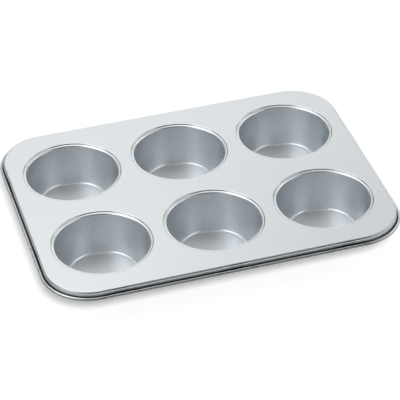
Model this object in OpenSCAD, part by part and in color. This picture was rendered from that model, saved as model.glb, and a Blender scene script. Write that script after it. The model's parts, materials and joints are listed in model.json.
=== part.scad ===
// Jumbo muffin pan: one sheet of metal, pressed into deep round cups that hang from a flat
// deck. The deck turns down into a short skirt, and the skirt's edge is rolled into a hollow
// bead. Millimetres, +Z up. X runs along the length. The origin lies under the middle of the
// pan, on the surface that the cups stand on.

/* [Sheet] */
// Thickness of the sheet
sheet = 0.7; // [0.5:0.05:0.9]

/* [Cups] */
// Number of cups along the length
cup_columns = 3; // [1:1:4]
// Number of cups across the width
cup_rows = 2; // [1:1:3]
// Depth inside a cup, from the top of the deck to the top of the cup's floor
cup_depth = 41.3; // [25:0.1:60]
// Radius of the pressed ring round each mouth
ring_radius = 49.3; // [42:0.1:60]
// Drop from the deck to the ledge inside the ring
ring_drop = 0.75; // [0.5:0.05:1.2]
// Slope of the ring's face, from level
ring_slope = 60; // [40:5:75]
// Inside radius of the two bends at the ring
ring_bend = 0.1; // [0.05:0.05:0.3]
// Width of the ledge, from the ring to where the wall begins
ledge_width = 2.8; // [1.8:0.1:5]
// Inside radius of the bend at the lip, where the ledge turns down into the wall
lip_bend = 1.1; // [0.2:0.1:2]
// Lean of the wall, from upright
wall_lean = 12.9; // [5:0.1:20]
// Inside radius of the bend between the wall and the floor
floor_bend = 2.5; // [1:0.1:6]

/* [Deck] */
// Flat of the deck between the rings of neighbours along the length
column_gap = 13.7; // [8:0.1:40]
// Flat of the deck between the rings of neighbours across the width
row_gap = 22.7; // [8:0.1:40]
// Flat of the deck between an end cup's ring and the end's bend
end_margin = 12.9; // [6:0.1:40]
// Flat of the deck between a cup's ring and the long side's bend
side_margin = 21.5; // [6:0.1:40]
// Radius of the flat's corners, seen from above
corner_radius = 43.5; // [25:0.5:50]

/* [Rolled edge] */
// Inside radius of the bend from the deck to the skirt
edge_bend = 0.9; // [0.4:0.1:2]
// Depth of the bead's centre below the top of the deck
bead_drop = 6.15; // [5:0.05:12]
// Outside radius of the bead
bead_radius = 1.45; // [1.2:0.05:2]
// Clear width of the crease between the skirt and the bead
crease_gap = 0.6; // [0.1:0.05:0.75]
// Inside radius of the crease, where the skirt turns out into the bead
crease_bend = 0.45; // [0.4:0.05:0.6]
// How far the sheet curls round the bead
curl_angle = 280; // [200:5:280]

/* [Hidden] */
$fn = 96;

// Largest angle between two points of a bend
point_angle = 15;

// The bends' radii at the middle of the sheet
half_sheet = sheet / 2;
ring_mid = ring_bend + half_sheet;
lip_mid = lip_bend + half_sheet;
floor_mid = floor_bend + half_sheet;
edge_mid = edge_bend + half_sheet;
crease_mid = crease_bend + half_sheet;
bead_mid = bead_radius - half_sheet;

// Places of the cups, and the flat of the deck that carries them
column_pitch = 2 * ring_radius + column_gap;
row_pitch = 2 * ring_radius + row_gap;
flat_length = (cup_columns - 1) * column_pitch + 2 * ring_radius + 2 * end_margin;
flat_width = (cup_rows - 1) * row_pitch + 2 * ring_radius + 2 * side_margin;
corner_x = flat_length / 2 - corner_radius;
corner_y = flat_width / 2 - corner_radius;

// Levels of the middle of the sheet
floor_level = half_sheet;
deck_level = floor_level + cup_depth;
ledge_level = deck_level - ring_drop;

// The cup's section as sharp corners, [radius, height, bend radius], from the deck to the axis
ring_run = ring_drop / tan(ring_slope);
collar_radius = ring_radius + ring_run / 2 + 2 * ring_mid;
wall_top = ring_radius - ledge_width;
wall_foot = wall_top - (ledge_level - floor_level) * tan(wall_lean);
cup_corners = [
  [collar_radius, deck_level, 0],
  [ring_radius + ring_run / 2, deck_level, ring_mid],
  [ring_radius - ring_run / 2, ledge_level, ring_mid],
  [wall_top, ledge_level, lip_mid],
  [wall_foot, floor_level, floor_mid],
  [0, floor_level, 0],
];

// The edge's section, [distance out from the flat, height], as the centres of its bends
edge_centre = [0, deck_level - edge_mid];
bead_centre = [edge_mid + half_sheet + crease_gap + bead_radius, deck_level + half_sheet - bead_drop];
crease_x = edge_mid + crease_mid;
crease_rise = sqrt(pow(crease_mid + bead_mid, 2) - pow(bead_centre.x - crease_x, 2));
crease_centre = [crease_x, bead_centre.y + crease_rise];
curl_start = atan2(crease_rise, crease_x - bead_centre.x);

// Points along an arc, from one angle to another
function arc(centre, radius, from, to) =
  let (steps = max(2, ceil(abs(to - from) / point_angle)))
  [for (i = [0 : steps]) let (a = from + (to - from) * i / steps) centre + radius * [cos(a), sin(a)]];

function unit(v) = v / norm(v);

// The bend that rounds the corner b, between the legs to a and to c
function bend(a, b, c, radius) =
  let (
    to_a = unit(a - b),
    to_c = unit(c - b),
    half_angle = acos(to_a * to_c) / 2,
    centre = b + unit(to_a + to_c) * radius / sin(half_angle),
    first = b + to_a * radius / tan(half_angle) - centre,
    start = atan2(first.y, first.x),
    turn = sign(cross(b - a, c - b)) * (180 - 2 * half_angle)
  )
  arc(centre, radius, start, start + turn);

// A path through corners, [across, up, bend radius], with each corner rounded by its bend
function bent(corners) =
  let (p = [for (c = corners) [c.x, c.y]], last = len(p) - 1)
  [for (i = [0 : last]) each corners[i].z > 0 ? bend(p[i - 1], p[i], p[i + 1], corners[i].z) : [p[i]]];

// The path moved sideways by a distance, so that each of its legs keeps that distance
function beside(path, distance) =
  let (last = len(path) - 1)
  [for (i = [0 : last])
    let (
      before = unit(path[max(i, 1)] - path[max(i, 1) - 1]),
      after = unit(path[min(i, last - 1) + 1] - path[min(i, last - 1)]),
      along = unit(before + after),
      mitre = along * after
    )
    path[i] + [-along.y, along.x] * distance / mitre];

function after_first(path) = [for (i = [1 : len(path) - 1]) path[i]];

function reversed(path) = [for (i = [len(path) - 1 : -1 : 0]) path[i]];

// The sheet's section along a path through its middle
module sheet_section(path) {
  polygon(concat(beside(path, half_sheet), reversed(beside(path, -half_sheet))));
}

// The deck's border from the corners' centres out to the end of the curl
module border_section() {
  sheet_section(concat(
    [[-corner_radius, deck_level]],
    arc(edge_centre, edge_mid, 90, 0),
    arc(crease_centre, crease_mid, 180, curl_start + 180),
    after_first(arc(bead_centre, bead_mid, curl_start, curl_start - curl_angle))
  ));
}

// A straight stretch of border that faces +Y
module straight_border(length) {
  rotate([90, 0, 90])
    linear_extrude(height = length, center = true)
      border_section();
}

// A quarter turn of border, from +X round to +Y
module corner_border() {
  rotate_extrude(angle = 90)
    translate([corner_radius, 0])
      border_section();
}

module at_cups() {
  for (column = [0 : cup_columns - 1], row = [0 : cup_rows - 1])
    translate([
      (column - (cup_columns - 1) / 2) * column_pitch,
      (row - (cup_rows - 1) / 2) * row_pitch,
      0
    ])
      children();
}

// The deck with its rolled edge, open where the cups join it
module deck() {
  difference() {
    union() {
      translate([-corner_x, -corner_y, deck_level - half_sheet])
        cube([2 * corner_x, 2 * corner_y, sheet]);
      for (side = [0, 1]) {
        rotate(180 * side) {
          translate([0, corner_y + corner_radius, 0])
            straight_border(2 * corner_x);
          translate([corner_x + corner_radius, 0, 0])
            rotate(-90)
              straight_border(2 * corner_y);
          translate([corner_x, corner_y, 0])
            corner_border();
          translate([-corner_x, corner_y, 0])
            rotate(90)
              corner_border();
        }
      }
    }
    at_cups()
      translate([0, 0, deck_level - sheet])
        cylinder(r = collar_radius, h = 2 * sheet);
  }
}

// One cup: the ring, the ledge, the lip, the leaning wall and the floor
module cup() {
  rotate_extrude()
    sheet_section(bent(cup_corners));
}

module pan() {
  color([0.78, 0.8, 0.81]) {
    deck();
    at_cups()
      cup();
  }
}

pan();
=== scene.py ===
# Jumbo muffin pan: one pressed sheet of satin metal, with deep cups and a rolled edge.
# Metres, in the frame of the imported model: X along the pan, Z up, the cups stand on Z = 0.
import json
import math

import bpy
from mathutils import Matrix, Vector
from mathutils.geometry import delaunay_2d_cdt


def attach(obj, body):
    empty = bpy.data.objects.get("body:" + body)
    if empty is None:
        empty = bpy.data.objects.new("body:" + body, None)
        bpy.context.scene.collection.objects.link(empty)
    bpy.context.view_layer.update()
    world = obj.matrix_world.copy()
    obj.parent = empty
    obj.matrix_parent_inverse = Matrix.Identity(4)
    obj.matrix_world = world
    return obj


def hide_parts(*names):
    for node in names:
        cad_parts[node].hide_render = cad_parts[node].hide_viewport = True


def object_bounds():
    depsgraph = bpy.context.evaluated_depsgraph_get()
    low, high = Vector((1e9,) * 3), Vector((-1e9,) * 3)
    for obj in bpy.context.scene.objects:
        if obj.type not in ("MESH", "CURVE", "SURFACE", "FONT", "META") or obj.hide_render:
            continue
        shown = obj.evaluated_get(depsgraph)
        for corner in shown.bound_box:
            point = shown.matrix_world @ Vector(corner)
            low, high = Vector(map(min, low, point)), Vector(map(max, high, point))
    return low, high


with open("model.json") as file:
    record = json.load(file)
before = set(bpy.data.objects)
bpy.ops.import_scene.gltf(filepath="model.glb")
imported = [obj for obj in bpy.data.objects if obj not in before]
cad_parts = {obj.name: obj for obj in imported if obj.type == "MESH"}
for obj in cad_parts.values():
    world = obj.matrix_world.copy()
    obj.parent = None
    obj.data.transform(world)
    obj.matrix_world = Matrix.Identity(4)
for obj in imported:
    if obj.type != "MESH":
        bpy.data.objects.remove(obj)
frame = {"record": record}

scene = bpy.context.scene
cadLow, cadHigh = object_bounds()


# Camera, from the perspective of the photo
shot = {
    "azimuth": -15.797,              # degrees round the pan from its front
    "elevation": 36.691,             # degrees above the floor
    "roll": -1.497,
    "distance": 1.9349,              # to the target
    "target": (-0.00374, -0.02554),  # where the picture's middle meets the deck
    "focalPixels": 1966.5,           # focal length, in pixels of the picture
    "picturePixels": 400,
    "sensorWidth": 36.0,             # millimetres, as the lens is
}


def makeCamera():
    azimuth, elevation, roll = (math.radians(shot[k]) for k in ("azimuth", "elevation", "roll"))
    forward = Vector((-math.sin(azimuth) * math.cos(elevation),
                      math.cos(azimuth) * math.cos(elevation),
                      -math.sin(elevation)))
    level = Vector((math.cos(azimuth), math.sin(azimuth), 0))
    upright = level.cross(forward)
    right = level * math.cos(roll) + upright * math.sin(roll)
    up = upright * math.cos(roll) - level * math.sin(roll)
    data = bpy.data.cameras.new("photoCamera")
    data.sensor_width = shot["sensorWidth"]
    data.lens = shot["focalPixels"] / shot["picturePixels"] * shot["sensorWidth"]
    camera = bpy.data.objects.new("photoCamera", data)
    scene.collection.objects.link(camera)
    place = Vector((*shot["target"], cadHigh.z)) - forward * shot["distance"]
    camera.matrix_world = Matrix.Translation(place) @ Matrix((right, up, -forward)).transposed().to_4x4()
    scene.camera = camera
    print("camera at", [round(v, 3) for v in place], "lens", round(data.lens, 1))


# The sheet of the pan. Bend radii are on the inside of each bend.
pan = {
    "sheet": 0.0007,
    "ringRadius": 0.0493,    # the pressed ring round each mouth
    "ringDrop": 0.00075,
    "ringSlope": 60,         # degrees from level
    "ringBend": 0.0001,
    "ledgeWidth": 0.0028,
    "lipBend": 0.0011,
    "wallLean": 12.9,        # degrees from upright
    "floorBend": 0.0025,
    "cornerRadius": 0.0435,  # of the flat deck
    "edgeBend": 0.0009,
    "beadDrop": 0.00615,     # from the deck's top to the bead's centre
    "beadRadius": 0.00145,
    "creaseGap": 0.0006,
    "creaseBend": 0.00045,
    "curlAngle": 280,        # degrees that the sheet goes round the bead
    "bendStep": 9,           # degrees between two lines of a bend
    "roundSteps": 144,       # lines round a cup
    "cornerSteps": 30,       # lines round a corner of the deck
    "weld": 1e-7,            # points of the deck that are nearer than this are one
}


def rayAt(angle):
    return Vector((math.cos(angle), math.sin(angle)))


# A section's path runs along the middle of the sheet, as points (across, up) and the normals
# of the sheet's upper side.
def arc(centre, radius, start, end):
    steps = max(2, math.ceil(abs(end - start) / math.radians(pan["bendStep"])))
    side = -1 if end > start else 1
    rays = [rayAt(start + (end - start) * i / steps) for i in range(steps + 1)]
    return [(centre + ray * radius, ray * side) for ray in rays]


def bentPath(corners):
    # corners are (across, up, bend radius), and the two ends have no bend
    points = [Vector(c[:2]) for c in corners]
    path = []
    for i, (point, corner) in enumerate(zip(points, corners)):
        if corner[2]:
            back = (points[i - 1] - point).normalized()
            ahead = (points[i + 1] - point).normalized()
            half = back.angle(ahead) / 2
            centre = point + (back + ahead).normalized() * corner[2] / math.sin(half)
            first = point + back * corner[2] / math.tan(half) - centre
            start = math.atan2(first.y, first.x)
            left = back.x * ahead.y - back.y * ahead.x < 0
            path += arc(centre, corner[2], start, start + (math.pi - 2 * half) * (1 if left else -1))
        else:
            leg = points[1] - points[0] if i == 0 else points[-1] - points[-2]
            path.append((point, Vector((-leg.y, leg.x)).normalized()))
    return path


def cupPath():
    # from the axis up to the flat of the deck
    half = pan["sheet"] / 2
    deckLevel = cadHigh.z - half
    ledgeLevel = deckLevel - pan["ringDrop"]
    floorLevel = cadLow.z + half
    ring, ringMid = pan["ringRadius"], pan["ringBend"] + half
    run = pan["ringDrop"] / math.tan(math.radians(pan["ringSlope"])) / 2
    wallTop = ring - pan["ledgeWidth"]
    wallFoot = wallTop - (ledgeLevel - floorLevel) * math.tan(math.radians(pan["wallLean"]))
    return bentPath([
        (0, floorLevel, 0),
        (wallFoot, floorLevel, pan["floorBend"] + half),
        (wallTop, ledgeLevel, pan["lipBend"] + half),
        (ring - run, ledgeLevel, ringMid),
        (ring + run, deckLevel, ringMid),
        (ring + run + 2 * ringMid, deckLevel, 0),
    ])


def borderCentres():
    # centre and radius of the edge's three bends, out from the deck's flat
    half = pan["sheet"] / 2
    edge = pan["edgeBend"] + half
    crease = pan["creaseBend"] + half
    bead = pan["beadRadius"] - half
    beadOut = edge + half + pan["creaseGap"] + pan["beadRadius"]
    beadCentre = Vector((beadOut, cadHigh.z - pan["beadDrop"]))
    rise = math.sqrt((crease + bead) ** 2 - (beadCentre.x - edge - crease) ** 2)
    creaseCentre = Vector((edge + crease, beadCentre.y + rise))
    return (Vector((0, cadHigh.z - half - edge)), edge), (creaseCentre, crease), (beadCentre, bead)


def flatCorner():
    # how far the centres of the deck's corners lie from the middle, along X and along Y
    beadCentre = borderCentres()[2][0]
    reach = beadCentre.x + pan["beadRadius"] + pan["cornerRadius"]
    return cadHigh.x - reach, cadHigh.y - reach


def borderPath():
    # out from the flat of the deck, down the skirt, through the crease and round the bead
    edge, crease, bead = borderCentres()
    start = math.atan2(crease[0].y - bead[0].y, crease[0].x - bead[0].x)
    path = arc(*edge, math.pi / 2, 0)
    path += arc(*crease, math.pi, start + math.pi)
    path += arc(*bead, start, start - math.radians(pan["curlAngle"]))[1:]
    return path


class Sheet:
    # Gathers the two sides of the sheet as points, faces and the normal at each face's corner
    def __init__(self):
        self.points, self.normals, self.faces, self.faceNormals = [], [], [], []

    def line(self, station, places):
        # carries one station of a section to the places, each a centre and a ray that points across;
        # gives the upper and the lower points
        point, normal = station
        middles = [Vector((*(centre + ray * point.x), point.y)) for centre, ray in places]
        normals = [Vector((*(ray * normal.x), normal.y)) for _, ray in places]
        half = pan["sheet"] / 2
        sides = []
        for side in (1, -1):
            first = len(self.points)
            self.points += [middle + away * half * side for middle, away in zip(middles, normals)]
            self.normals += [away * side for away in normals]
            sides.append(list(range(first, len(self.points))))
        return sides

    def face(self, corners, normal=None):
        corners = list(dict.fromkeys(corners))
        a, b, c = (self.points[i] for i in corners[:3])
        facing = (b - a).cross(c - a)
        if facing.dot(normal or self.normals[corners[0]]) < 0:
            corners.reverse()
        self.faces.append(corners)
        self.faceNormals += [normal or self.normals[i] for i in corners]

    def join(self, lines):
        # faces between neighbouring closed lines, on both sides of the sheet
        for near, far in zip(lines, lines[1:]):
            for a, b in zip(near, far):
                for i in range(max(len(a), len(b))):
                    j = i + 1
                    self.face([a[i % len(a)], a[j % len(a)], b[j % len(b)], b[i % len(b)]])

    def web(self, outer, inner, isHole):
        # fills the flat between closed lines, on both sides
        upper = outer[0] + [i for line in inner for i in line[0]]
        lower = outer[1] + [i for line in inner for i in line[1]]
        edges, first = [], 0
        for line in [outer] + inner:
            count = len(line[0])
            edges += [(first + i, first + (i + 1) % count) for i in range(count)]
            first += count
        flat = [self.points[i].xy for i in upper]
        inside = 1               # leaves out what lies past the outer line
        points, _, triangles, source, _, _ = delaunay_2d_cdt(flat, edges, [], inside, pan["weld"])
        for triangle in triangles:
            middle = sum((points[i] for i in triangle), Vector((0, 0))) / 3
            if not isHole(middle):
                corners = [source[i][0] for i in triangle]
                self.face([upper[i] for i in corners])
                self.face([lower[i] for i in corners])

    def cap(self, line, normals):
        # closes the sheet's cut edge
        upper, lower = line
        count = len(normals)
        for i in range(count):
            j = (i + 1) % count
            outward = (normals[i] + normals[j]).normalized()
            self.face([upper[i], upper[j], lower[j], lower[i]], outward)

    def build(self, name):
        mesh = bpy.data.meshes.new(name)
        mesh.from_pydata(self.points, [], self.faces)
        mesh.shade_smooth()
        mesh.normals_split_custom_set(self.faceNormals)
        mesh.validate()
        piece = bpy.data.objects.new(name, mesh)
        scene.collection.objects.link(piece)
        return piece


def pressCups(sheet, cups):
    # turns the section about each cup's axis, and gives the lines round the mouths
    section = cupPath()
    rays = [rayAt(2 * math.pi * i / pan["roundSteps"]) for i in range(pan["roundSteps"])]
    mouths = []
    for cup in cups:
        places = [(cup, ray) for ray in rays]
        lines = [sheet.line(section[0], places[:1])]     # on the axis, where one point is enough
        lines += [sheet.line(station, places) for station in section[1:]]
        sheet.join(lines)
        mouths.append(lines[-1])
    print("cups", len(cups), "with", len(section), "lines each")
    return mouths


def rollBorder(sheet):
    # runs the section round the four corners, and gives its first line, where the flat begins
    section = borderPath()
    cornerX, cornerY = flatCorner()
    places = []
    for quarter, (sideX, sideY) in enumerate([(1, 1), (-1, 1), (-1, -1), (1, -1)]):
        corner = Vector((sideX * cornerX, sideY * cornerY))
        for i in range(pan["cornerSteps"] + 1):
            ray = rayAt(math.pi / 2 * (quarter + i / pan["cornerSteps"]))
            places.append((corner + ray * pan["cornerRadius"], ray))
    lines = [sheet.line(station, places) for station in section]
    sheet.join(lines)
    ahead = (section[-1][0] - section[-2][0]).normalized()
    sheet.cap(lines[-1], [Vector((*(ray * ahead.x), ahead.y)) for _, ray in places])
    print("border with", len(section), "lines of", len(places))
    return lines[0]


def makePan():
    sheet = Sheet()
    cups = [Vector(m["pos_m"][:2]) for m in frame["record"]["mounts"]]
    mouths = pressCups(sheet, cups)
    border = rollBorder(sheet)
    # a mouth's line has straight sides, and what lies nearer than their middles is inside it
    sideMiddle = cupPath()[-1][0].x * math.cos(math.pi / pan["roundSteps"])
    sheet.web(border, mouths, lambda p: any((p - cup).length < sideMiddle for cup in cups))
    piece = sheet.build("pressedPan")
    print("pan with", len(piece.data.polygons), "faces")
    return piece


class Field:
    # A socket's value over the surface, to be used in ordinary maths
    def __init__(self, look, socket):
        self.look, self.socket = look, socket

    def maths(self, operation, *values):
        return self.look.maths(operation, *values)

    def __add__(self, other):
        return self.maths("ADD", self, other)

    def __radd__(self, other):
        return self.maths("ADD", other, self)

    def __sub__(self, other):
        return self.maths("SUBTRACT", self, other)

    def __rsub__(self, other):
        return self.maths("SUBTRACT", other, self)

    def __mul__(self, other):
        return self.maths("MULTIPLY", self, other)

    def __rmul__(self, other):
        return self.maths("MULTIPLY", other, self)

    def __truediv__(self, other):
        return self.maths("DIVIDE", self, other)

    def __pow__(self, other):
        return self.maths("POWER", self, other)

    def __abs__(self):
        return self.maths("ABSOLUTE", self)


class Look:
    # A material or the world, whose nodes are written as expressions
    def __init__(self, owner):
        owner.use_nodes = True
        self.owner, self.tree = owner, owner.node_tree
        self.tree.nodes.clear()

    def node(self, kind, settings=None, sockets=None, output=0):
        # the settings come first, as they change which sockets there are
        made = self.tree.nodes.new(kind)
        for name, value in (settings or {}).items():
            setattr(made, name, value)
        for name, value in (sockets or {}).items():
            if isinstance(value, Field):
                self.tree.links.new(value.socket, made.inputs[name])
            else:
                made.inputs[name].default_value = value
        return Field(self, made.outputs[output])

    def maths(self, operation, *values):
        return self.node("ShaderNodeMath", {"operation": operation}, dict(enumerate(values)))

    def parts(self, vector):
        split = self.node("ShaderNodeSeparateXYZ", sockets={"Vector": vector}).socket.node
        return [Field(self, out) for out in split.outputs]

    def rise(self, value, stretch):
        # 0 before the stretch, 1 after it, smooth along it
        low, high = stretch
        return self.node("ShaderNodeMapRange", {"interpolation_type": "SMOOTHSTEP"},
                         {"Value": value, "From Min": low, "From Max": high})

    def fall(self, value, stretch):
        return 1 - self.rise(value, stretch)

    def noise(self, place, grade):
        # wanders on both sides of 0
        scale, detail = grade
        return self.node("ShaderNodeTexNoise",
                         sockets={"Vector": place, "Scale": scale, "Detail": detail}) - 0.5

    def blend(self, factor, first, second):
        # sockets 6 and 7 and output 2 are the Mix node's colours
        return self.node("ShaderNodeMix", {"data_type": "RGBA"},
                         {"Factor": factor, 6: first, 7: second}, output=2)

    def finish(self, surface):
        out = self.tree.nodes.new("ShaderNodeOutputWorld" if isinstance(self.owner, bpy.types.World)
                                  else "ShaderNodeOutputMaterial")
        self.tree.links.new(surface.socket, out.inputs["Surface"])
        return self.owner


satin = {
    # colours; the lip's lighter one is a painted highlight, and the walls' darker, bluer one is painted
    # shade inside the cups
    "deckColour": (0.751, 0.785, 0.801, 1),
    "lipHighlightColour": (0.785, 0.815, 0.83, 1),
    "wallShadeColour": (0.725, 0.76, 0.785, 1),
    "floorColour": (0.755, 0.785, 0.805, 1),
    # roughness
    "deck": 0.3,
    "ring": 0.24,            # the struck ledge and lip
    "step": 0.13,            # the ring's step
    "cup": 0.36,             # the drawn walls
    "bend": 0.33,            # the bend round a cup's floor
    "floor": 0.52,
    "cloud": 0.05,           # how far it wanders over the whole sheet
    "grain": 0.05,
    "marks": 0.18,           # how far the draw marks change it, and the walls' tone
    # share of the light that is lost
    # painted shade: the share of the colour taken away on the ring's step, the skirt, in the crease and
    # under the bead
    "stepPaintedShade": 0.22,
    "skirtPaintedShade": 0.42,
    "creasePaintedShade": 0.96,
    "beadPaintedShade": 0.72,        # below the bead's top
    # noise, as scale and detail
    "markNoise": (22.0, 4.0),
    "cloudNoise": (14.0, 3.0),
    "grainNoise": (2600.0, 2.0),
    "markRun": 6.0,          # how soon a mark changes down the wall
    "grainStrength": 0.03,
    "grainHeight": 0.0001,
    # stretches over which one area goes over into the next
    "meets": {
        "cup": (-0.001, 0.0006),         # out from the lip
        "lip": (-0.001, -0.0004),        # out from the ring
        "ring": (0.001, 0.0016),         # out from the ring
        "step": (0.0003, 0.0007),        # to both sides of the step's foot
        "floor": (0.001, 0.004),         # up from the bottom
        "bendFoot": (0.0008, 0.0012),    # up from the bottom
        "bendTop": (0.002, 0.0035),      # up from the bottom
        "edge": (0, 0.001),              # out from the deck's flat
        "skirt": (-0.1, 0.5),            # out from the deck's flat, in radii of the edge's bend
        "skirtEnd": (0, 1),              # out from the crease, in radii of its bend
        "crease": (0.0003, 0.0008),      # all round the bottom of the crease
        "bead": (0.75, 1.15),            # up from the bead's centre, in its radii
    },
    "stepFoot": 0.0004,      # in from the ring
}


def paintedEdgeShade(look, x, y, z):
    # painted shade: the share of the colour kept at the edge, where the skirt's darker tone is a painted
    # reflection and the crease and the bead's underside are painted shade
    meets = satin["meets"]
    cornerX, cornerY = flatCorner()
    overX = look.maths("MAXIMUM", abs(x) - cornerX, 0)
    overY = look.maths("MAXIMUM", abs(y) - cornerY, 0)
    out = (overX * overX + overY * overY) ** 0.5 - pan["cornerRadius"]   # from the deck's flat
    (_, edgeRadius), (crease, creaseRadius), (bead, beadRadius) = borderCentres()
    skirtEnd = look.fall((out - crease.x) / creaseRadius, meets["skirtEnd"])
    # the skirt's painted reflection, darker than what it mirrors
    skirt = look.rise(out / edgeRadius, meets["skirt"]) * skirtEnd
    away = ((out - crease.x) ** 2 + (z - (crease.y - creaseRadius)) ** 2) ** 0.5
    # painted shade in the crease
    creaseShade = look.fall(away, meets["crease"])
    # painted shade on the bead's underside
    beadUnderShade = look.fall((z - bead.y) / beadRadius, meets["bead"]) * look.rise(out, meets["edge"])
    return ((1 - skirt * satin["skirtPaintedShade"]) * (1 - creaseShade * satin["creasePaintedShade"])
            * (1 - beadUnderShade * satin["beadPaintedShade"]))


def fromCup(look, x, y):
    # the way across and along from the nearest cup's axis, and its length.
    # Three columns and two rows: the columns lie cupX apart, the rows twice cupY.
    cupX, cupY = (max(m["pos_m"][i] for m in frame["record"]["mounts"]) for i in (0, 1))
    aside = look.maths("WRAP", x, cupX / 2, -cupX / 2)
    along = look.maths("WRAP", y, 2 * cupY, 0) - cupY
    return aside, along, (aside * aside + along * along) ** 0.5


def satinMetal():
    look = Look(bpy.data.materials.new("satinMetal"))
    meets = satin["meets"]
    place = look.node("ShaderNodeTexCoord", output="Object")
    x, y, z = look.parts(place)
    aside, along, reach = fromCup(look, x, y)

    # the areas of a cup, by the distance from its axis and by height
    past = reach - pan["ringRadius"]
    up = z - cadLow.z
    inCup = look.fall(past + pan["ledgeWidth"], meets["cup"])
    onLip = (1 - inCup) * look.fall(past, meets["lip"])
    onRing = (1 - inCup) * look.fall(past, meets["ring"])
    onStep = look.fall(abs(past + satin["stepFoot"]), meets["step"])
    onFloor = look.fall(up, meets["floor"])
    onBend = look.rise(up, meets["bendFoot"]) * look.fall(up, meets["bendTop"])
    onWall = inCup * (1 - onFloor)

    # the walls' darker, bluer colour is painted shade inside the cups
    cupShadeColour = look.blend(onFloor, satin["wallShadeColour"], satin["floorColour"])
    # the lip's lighter colour is a painted highlight
    deckAndLipHighlight = look.blend(onLip, satin["deckColour"], satin["lipHighlightColour"])
    base = look.blend(inCup, deckAndLipHighlight, cupShadeColour)
    inside = satin["cup"] + onFloor * (satin["floor"] - satin["cup"])
    inside = inside + onBend * (satin["bend"] - inside)
    rough = satin["deck"] + inCup * (inside - satin["deck"]) + onRing * (satin["ring"] - satin["deck"])
    rough = rough + onStep * (satin["step"] - rough)

    # the marks of drawing run down the walls
    turned = look.node("ShaderNodeCombineXYZ", sockets={
        "X": aside / reach,
        "Y": along / reach,
        "Z": z * satin["markRun"],
    })
    marks = look.noise(turned, satin["markNoise"]) * onWall * satin["marks"]
    cloud = look.noise(place, satin["cloudNoise"]) * satin["cloud"]
    grain = look.noise(place, satin["grainNoise"])
    # painted shade on the edge and the ring's step, times the draw marks' own tone
    shadeAndMarks = paintedEdgeShade(look, x, y, z) * (1 - onStep * satin["stepPaintedShade"]) * (1 + marks)
    metal = look.node("ShaderNodeBsdfPrincipled", sockets={
        "Base Color": look.node("ShaderNodeVectorMath", {"operation": "SCALE"}, {0: base, "Scale": shadeAndMarks}),
        "Metallic": 1.0,
        "Roughness": rough + marks + cloud + grain * satin["grain"],
        "Normal": look.node("ShaderNodeBump", sockets={
            "Strength": satin["grainStrength"],
            "Distance": satin["grainHeight"],
            "Height": grain,
        }),
    })
    print("finish with", len(look.tree.nodes), "nodes")
    return look.finish(metal)


floor = {
    "size": 6.0,
    "colour": (0.25, 0.25, 0.25, 1),
    "glow": 0.3,             # lifts the floor to the photo's white
    "sun": 10.4,             # falls on the floor alone, for the tight shadow at the pan's near side
    "sunFrom": 188,          # degrees round the pan from the far side
    "sunHeight": 44,         # degrees up from level
    "sunWidth": 14,          # degrees across
}


def palePaper():
    # only the camera, reflections and glass see the glow
    look = Look(bpy.data.materials.new("paleFloor"))
    camera, glossy, transmission = (look.node("ShaderNodeLightPath", output=f"Is {kind} Ray")
                                    for kind in ("Camera", "Glossy", "Transmission"))
    seen = look.maths("MAXIMUM", camera, look.maths("MAXIMUM", glossy, transmission))
    paper = look.node("ShaderNodeBsdfDiffuse", sockets={"Color": floor["colour"]})
    glow = look.node("ShaderNodeEmission", sockets={"Strength": floor["glow"]})
    both = look.node("ShaderNodeAddShader", sockets={0: paper, 1: glow})
    return look.finish(look.node("ShaderNodeMixShader", sockets={0: seen, 1: paper, 2: both}))


def makeFloor():
    half = floor["size"] / 2
    corners = [(-half, -half, 0), (half, -half, 0), (half, half, 0), (-half, half, 0)]
    mesh = bpy.data.meshes.new("paleFloor")
    mesh.from_pydata(corners, [], [(0, 1, 2, 3)])
    mesh.materials.append(palePaper())
    piece = bpy.data.objects.new("paleFloor", mesh)
    piece.location.z = cadLow.z
    scene.collection.objects.link(piece)
    return piece


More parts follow.
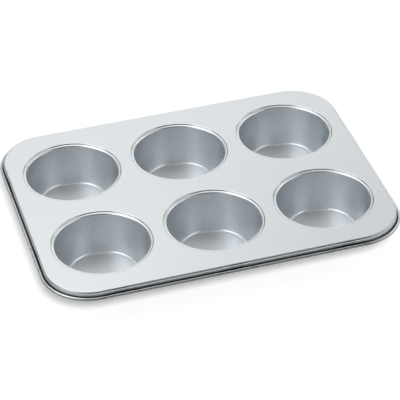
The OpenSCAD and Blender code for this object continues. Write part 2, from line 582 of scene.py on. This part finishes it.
def makeFloorSun(paleFloor):
    side, height = math.radians(floor["sunFrom"]), math.radians(floor["sunHeight"])
    level = math.cos(height)
    towards = Vector((math.sin(side) * level, math.cos(side) * level, math.sin(height)))
    data = bpy.data.lights.new("floorSun", "SUN")
    data.energy = floor["sun"]
    data.angle = math.radians(floor["sunWidth"])
    lamp = bpy.data.objects.new("floorSun", data)
    lamp.rotation_euler = towards.to_track_quat("Z", "Y").to_euler()
    scene.collection.objects.link(lamp)
    floorOnly = bpy.data.collections.new("floorOnly")
    floorOnly.objects.link(paleFloor)
    lamp.light_linking.receiver_collection = floorOnly
    print("floor", floor["size"], "wide, with its own sun")


# Soft panels round the pan. Directions are in degrees: 0 is far, 90 is right, and up from level.
studio = {
    "wall": 0.02,            # level of the room between the panels
    "ceiling": 0.7,
    "ceilingRise": (45, 80), # heights at which the wall starts and ends going over into the ceiling
    "horizon": (2, 6),       # and the floor's white into the wall
    "edge": 10,              # softness of the panels' edges
    "panels": {              # direction, height, half of the width and of the height, level
        "left": (-102, 44, 32, 16, 2.4),
        "far": (-9, 56.4, 26, 12.5, 2.62),
        "right": (101, 32, 40, 7, 3.9),
        "farLow": (27, 20, 25, 18, 1.13),
        "beadLine": (-33, 19, 14, 8, 1.1),
    },
}


def makeLights():
    look = Look(bpy.data.worlds.new("softStudio"))
    x, y, z = look.parts(look.node("ShaderNodeTexCoord", output="Generated"))
    perRadian = math.degrees(1)
    height = look.maths("ARCSINE", z) * perRadian
    turn = look.maths("ARCTAN2", x, y)
    soft = (-studio["edge"], studio["edge"])
    ceiling = look.rise(height, studio["ceilingRise"])
    level = studio["wall"] + (studio["ceiling"] - studio["wall"]) * ceiling
    level = level + (1 - level) * look.fall(height, studio["horizon"])
    for towards, up, halfWidth, halfHeight, strength in studio["panels"].values():
        # through the cosine, so that a panel may lie across the near side
        turned = look.maths("COSINE", turn - math.radians(towards))
        aside = look.maths("ARCCOSINE", turned) * perRadian
        above = abs(height - up)
        level = level + strength * look.fall(aside - halfWidth, soft) * look.fall(above - halfHeight, soft)
    scene.world = look.finish(look.node("ShaderNodeBackground", sockets={
        "Color": (1, 1, 1, 1),
        "Strength": level,
    }))
    print("studio with", len(studio["panels"]), "panels")


makeCamera()
pressedPan = makePan()
pressedPan.data.materials.append(satinMetal())
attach(pressedPan, "root")
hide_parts("pan")
makeFloorSun(makeFloor())
makeLights()
scene.view_settings.view_transform = "Standard"
